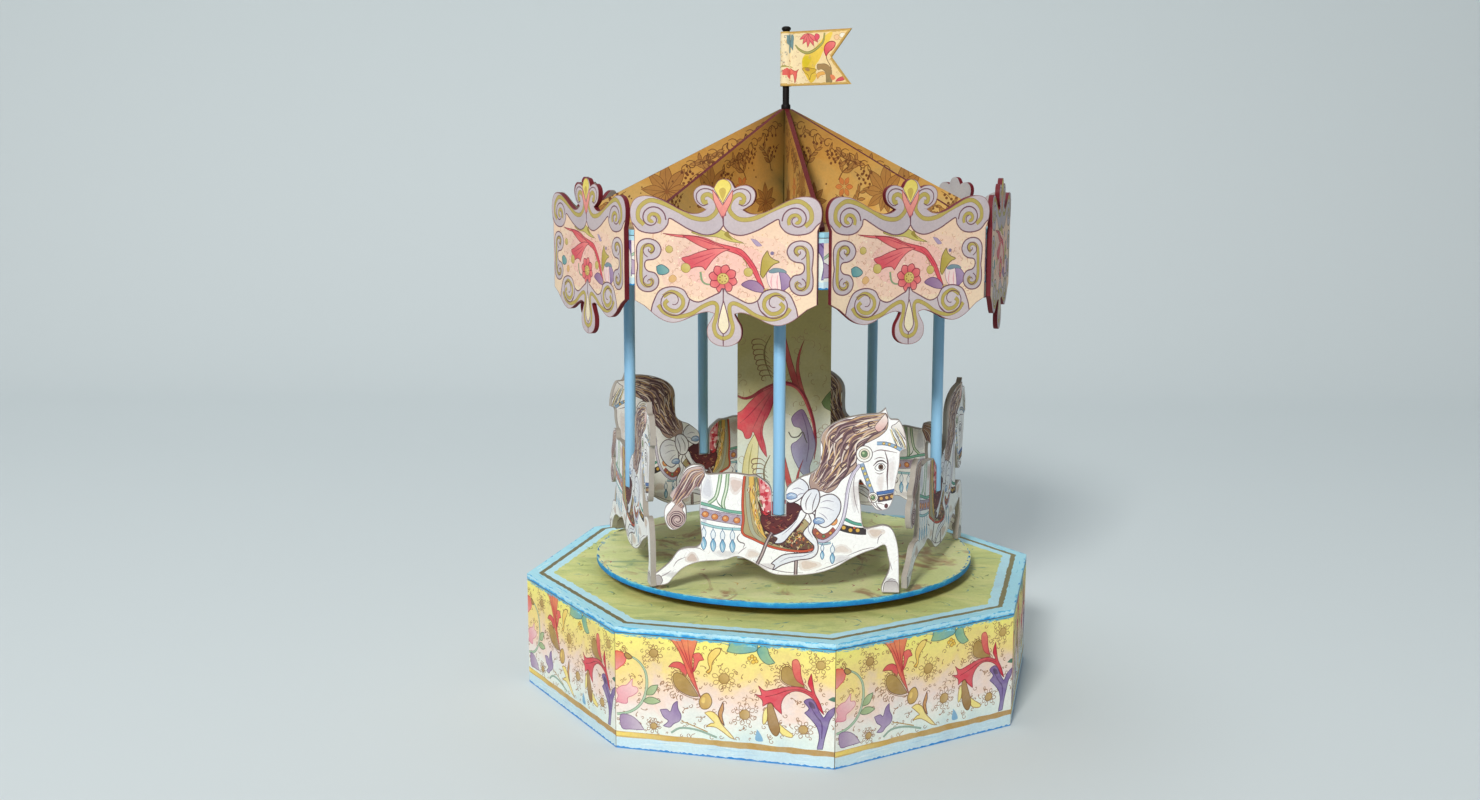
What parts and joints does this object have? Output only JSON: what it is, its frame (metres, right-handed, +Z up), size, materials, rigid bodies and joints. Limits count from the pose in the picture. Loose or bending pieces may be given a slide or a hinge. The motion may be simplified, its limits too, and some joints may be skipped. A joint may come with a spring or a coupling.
{
  "type": "wind-up carousel toy",
  "caption": "Table-top wind-up carousel: flat cut-out horses on poles and a finned roof with scrolled rounding boards turn on an eight-sided box that holds a spring motor.",
  "frame": {"origin": "on the table at the middle of the base", "axes": "+Z up along the carousel's axis, -Y toward the front, +X to the right seen from the front"},
  "size_m": [0.2362, 0.2362, 0.2997],
  "materials": {
    "side_print": "printed paper on board, matt",
    "scroll_print": "printed paper on board, matt, dark red edges",
    "pole_paint": "satin paint on dowel",
    "horse_print": "printed paper on board, matt",
    "roof_print": "printed paper on board, dark red edges",
    "steel": "turned",
    "base_top_paint": "brushed paint, blue rim",
    "plain_board": "bare board",
    "brass": "rolled sheet",
    "blued_steel": "blued",
    "turntable_paint": "brushed paint, blue edge",
    "column_print": "printed paper on a wood post",
    "drum_print": "printed paper on board",
    "mast_paint": "black satin paint",
    "flag_print": "printed stiff paper"
  },
  "bodies": {
    "base": {"base_side_1": "side_print", "base_side_2": "side_print", "base_side_3": "side_print", "base_side_4": "side_print", "base_side_5": "side_print", "base_side_6": "side_print", "base_side_7": "side_print", "base_side_8": "side_print", "base_top": "base_top_paint", "base_floor": "plain_board", "motor_plate_lower": "brass", "motor_plate_upper": "brass", "motor_pillar_1": "steel", "motor_pillar_2": "steel", "motor_pillar_3": "steel", "click_screw": "blued_steel", "click_spring": "blued_steel"},
    "carousel": {"carousel_spindle": "steel", "spindle_wheel": "brass", "turntable": "turntable_paint", "column": "column_print", "canopy_floor": "plain_board", "canopy_drum": "drum_print", "canopy_deck": "plain_board", "roof_fin_1": "roof_print", "roof_fin_2": "roof_print", "roof_fin_3": "roof_print", "roof_fin_4": "roof_print", "rounding_board_1": "scroll_print", "rounding_board_2": "scroll_print", "rounding_board_3": "scroll_print", "rounding_board_4": "scroll_print", "rounding_board_5": "scroll_print", "rounding_board_6": "scroll_print", "rounding_board_7": "scroll_print", "rounding_board_8": "scroll_print", "pole_1": "pole_paint", "pole_2": "pole_paint", "pole_3": "pole_paint", "pole_4": "pole_paint", "pole_5": "pole_paint", "horse_1": "horse_print", "horse_2": "horse_print", "horse_3": "horse_print", "horse_4": "horse_print", "horse_5": "horse_print", "mast": "mast_paint", "flag": "flag_print"},
    "barrel": {"spring_barrel": "brass", "barrel_cover": "brass", "mainspring": "blued_steel"},
    "winder": {"winding_arbor": "steel", "ratchet_wheel": "steel", "winding_key": "steel"},
    "middle_wheel_set": {"middle_arbor": "steel", "middle_wheel": "brass"},
    "governor": {"governor_arbor": "steel", "governor_fan": "brass"},
    "click": {"click": "steel"}
  },
  "joints": [
    {"name": "carousel_spin", "type": "hinge", "parent": "base", "child": "carousel", "pos_m": [0, 0, 0.056], "axis": [0, 0, 1], "continuous": true},
    {"name": "barrel_spin", "type": "hinge", "parent": "base", "child": "barrel", "pos_m": [-0.036, 0, 0.031], "axis": [0, 0, 1], "continuous": true},
    {"name": "middle_spin", "type": "hinge", "parent": "base", "child": "middle_wheel_set", "pos_m": [0.0266, 0, 0.032], "axis": [0, 0, 1], "continuous": true},
    {"name": "governor_spin", "type": "hinge", "parent": "base", "child": "governor", "pos_m": [0.0476, 0, 0.032], "axis": [0, 0, 1], "continuous": true},
    {"name": "key_wind", "type": "hinge", "parent": "base", "child": "winder", "pos_m": [-0.036, 0, 0.012], "axis": [0, 0, 1], "continuous": true},
    {"name": "click_lift", "type": "hinge", "parent": "base", "child": "click", "pos_m": [-0.021, -0.013, 0.023], "axis": [0, 0, 1], "range_deg": [0, 12], "stiffness_Nm_per_rad": 0.004, "springref_deg": -8.59, "deforming": ["click_spring"]}
  ],
  "couplings": [
    {"joint": "barrel_spin", "follows": "carousel_spin", "ratio": -0.33333},
    {"joint": "middle_spin", "follows": "carousel_spin", "ratio": -5.3333},
    {"joint": "governor_spin", "follows": "carousel_spin", "ratio": 32}
  ]
}
